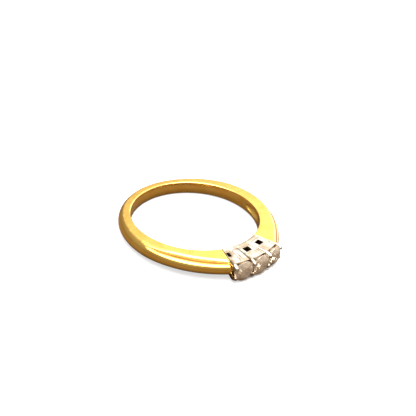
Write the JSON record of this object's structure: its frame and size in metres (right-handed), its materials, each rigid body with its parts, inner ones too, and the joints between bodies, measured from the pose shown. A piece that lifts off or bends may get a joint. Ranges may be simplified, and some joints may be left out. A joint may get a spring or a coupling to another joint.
{
  "type": "engagement ring",
  "caption": "Three-stone engagement ring: yellow gold D-section shank with grooved, hollowed shoulders and a white metal head of open box collets with claw-set round diamonds.",
  "frame": {"origin": "on the surface that the ring lies on, under the middle of its bounding box", "axes": "+Z along the finger axis, upwards with the ring lying on its side; -Y from the finger axis to the middle stone; +X completes the frame"},
  "size_m": [0.0208, 0.0226, 0.0026],
  "materials": {
    "yellow_gold": "polished 18 ct yellow gold with fine wear scratches; side faces satin",
    "white_metal": "polished platinum or white gold",
    "diamond": "brilliant-cut diamond, clear with a warm tint"
  },
  "bodies": {
    "root": {"shank": "yellow_gold", "shoulder_left": "yellow_gold", "shoulder_right": "yellow_gold", "under_bezel": "white_metal", "collet_left": "white_metal", "collet_centre": "white_metal", "collet_right": "white_metal", "claw_left_end_upper": "white_metal", "claw_left_end_lower": "white_metal", "claw_left_upper": "white_metal", "claw_left_lower": "white_metal", "claw_right_upper": "white_metal", "claw_right_lower": "white_metal", "claw_right_end_upper": "white_metal", "claw_right_end_lower": "white_metal", "diamond_left": "diamond", "diamond_centre": "diamond", "diamond_right": "diamond"}
  },
  "joints": []
}
